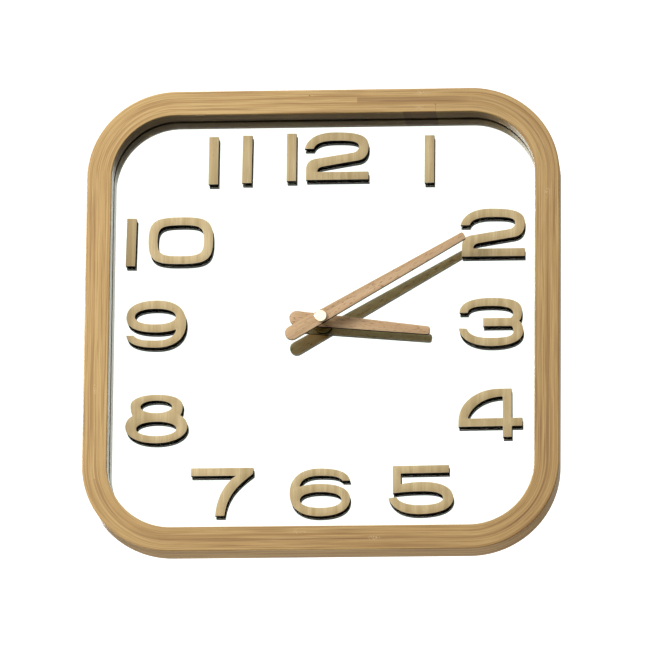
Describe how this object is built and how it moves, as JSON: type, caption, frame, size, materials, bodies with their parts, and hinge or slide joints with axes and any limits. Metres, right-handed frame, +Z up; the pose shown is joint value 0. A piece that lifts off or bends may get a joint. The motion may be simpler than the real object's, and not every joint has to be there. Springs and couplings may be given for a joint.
{
  "type": "wall clock",
  "caption": "Square wall clock with a round-cornered bamboo frame, mirror dial, raised wooden numerals, two tapered wooden hands and a battery quartz movement.",
  "frame": {"origin": "where the dial axis meets the wall plane, on the flat back of the movement", "axes": "+Z up the dial, +X to the reader's right, +Y into the wall"},
  "size_m": [0.35, 0.0487, 0.35],
  "materials": {
    "bamboo": "clear satin lacquer",
    "mirror": "polished",
    "foam_tape": "matt foam",
    "mdf": "bare fibreboard",
    "zinc_steel": "bright zinc plate",
    "beech_hand": "bare oiled veneer",
    "numeral_wood": "bare veneered ply, burnt sides",
    "brass": "turned",
    "pale_brass": "satin",
    "rubber": "matt",
    "black_abs": "moulded, fine texture",
    "natural_nylon": "moulded",
    "black_acetal": "moulded",
    "white_acetal": "moulded",
    "magnet": "sintered",
    "steel": "ground",
    "stator_iron": "annealed sheet",
    "bobbin_plastic": "moulded",
    "copper_wire": "enamelled wire",
    "board_green": "solder mask",
    "resin_black": "potting resin",
    "crystal_can": "tinned can",
    "nickel": "nickel plated spring steel",
    "cell_jacket": "printed shrink sleeve"
  },
  "bodies": {
    "root": {"aa_battery": "cell_jacket", "back_board": "mdf", "bamboo_frame": "bamboo", "battery_negative_contact": "nickel", "battery_positive_contact": "nickel", "chip_blob": "resin_black", "circuit_board": "board_green", "coil_bobbin": "bobbin_plastic", "coil_core": "stator_iron", "coil_leads": "copper_wire", "coil_winding": "copper_wire", "hex_nut": "brass", "mirror_glass": "mirror", "mounting_tape": "foam_tape", "movement_case": "black_abs", "movement_cover": "black_abs", "neck_washer": "brass", "numeral_1": "numeral_wood", "numeral_10": "numeral_wood", "numeral_11": "numeral_wood", "numeral_12": "numeral_wood", "numeral_2": "numeral_wood", "numeral_3": "numeral_wood", "numeral_4": "numeral_wood", "numeral_5": "numeral_wood", "numeral_6": "numeral_wood", "numeral_7": "numeral_wood", "numeral_8": "numeral_wood", "numeral_9": "numeral_wood", "plate_screws": "zinc_steel", "quartz_crystal": "crystal_can", "retaining_plates": "zinc_steel", "rubber_gasket": "rubber", "stator": "stator_iron", "stator_screws": "steel", "threaded_bushing": "brass", "train_plate": "natural_nylon"},
    "minute": {"minute_hand": "beech_hand", "minute_hand_bush": "brass", "hand_cap": "pale_brass", "cannon_pinion": "brass"},
    "hour": {"hour_hand": "beech_hand", "hour_hand_bush": "brass", "hour_wheel": "black_acetal"},
    "motion": {"motion_wheel": "white_acetal"},
    "knob": {"set_knob": "white_acetal"},
    "rotor": {"rotor_pinion": "natural_nylon", "rotor_magnet": "magnet"},
    "intermediate": {"intermediate_wheel": "white_acetal"},
    "seconds": {"seconds_wheel": "natural_nylon", "seconds_arbor": "steel"},
    "third": {"third_wheel": "white_acetal"},
    "centre": {"centre_wheel": "natural_nylon"}
  },
  "joints": [
    {"name": "minute_hand_turn", "type": "hinge", "parent": "root", "child": "minute", "pos_m": [0, 0, 0], "axis": [0, 1, 0], "continuous": true},
    {"name": "hour_hand_turn", "type": "hinge", "parent": "root", "child": "hour", "pos_m": [0, 0, 0], "axis": [0, 1, 0], "continuous": true},
    {"name": "motion_wheel_spin", "type": "hinge", "parent": "root", "child": "motion", "pos_m": [0.00999, 0, 0.00052], "axis": [0, 1, 0], "continuous": true},
    {"name": "set_knob_turn", "type": "hinge", "parent": "root", "child": "knob", "pos_m": [0.01938, 0, 0.00394], "axis": [0, 1, 0], "continuous": true},
    {"name": "rotor_spin", "type": "hinge", "parent": "root", "child": "rotor", "pos_m": [0.01235, 0, 0.01226], "axis": [0, 1, 0], "continuous": true},
    {"name": "intermediate_wheel_spin", "type": "hinge", "parent": "root", "child": "intermediate", "pos_m": [0.00885, 0, 0.00619], "axis": [0, 1, 0], "continuous": true},
    {"name": "seconds_wheel_spin", "type": "hinge", "parent": "root", "child": "seconds", "pos_m": [0, 0, 0], "axis": [0, 1, 0], "continuous": true},
    {"name": "third_wheel_spin", "type": "hinge", "parent": "root", "child": "third", "pos_m": [-0.00883, 0, 0.0051], "axis": [0, 1, 0], "continuous": true},
    {"name": "centre_wheel_spin", "type": "hinge", "parent": "root", "child": "centre", "pos_m": [0, 0, 0], "axis": [0, 1, 0], "continuous": true}
  ],
  "couplings": [
    {"joint": "hour_hand_turn", "follows": "minute_hand_turn", "ratio": 0.083333},
    {"joint": "motion_wheel_spin", "follows": "minute_hand_turn", "ratio": -0.33333},
    {"joint": "set_knob_turn", "follows": "minute_hand_turn", "ratio": 1},
    {"joint": "intermediate_wheel_spin", "follows": "rotor_spin", "ratio": -0.16667},
    {"joint": "seconds_wheel_spin", "follows": "rotor_spin", "ratio": 0.033333},
    {"joint": "third_wheel_spin", "follows": "rotor_spin", "ratio": -0.0044444},
    {"joint": "centre_wheel_spin", "follows": "rotor_spin", "ratio": 0.00055556}
  ]
}
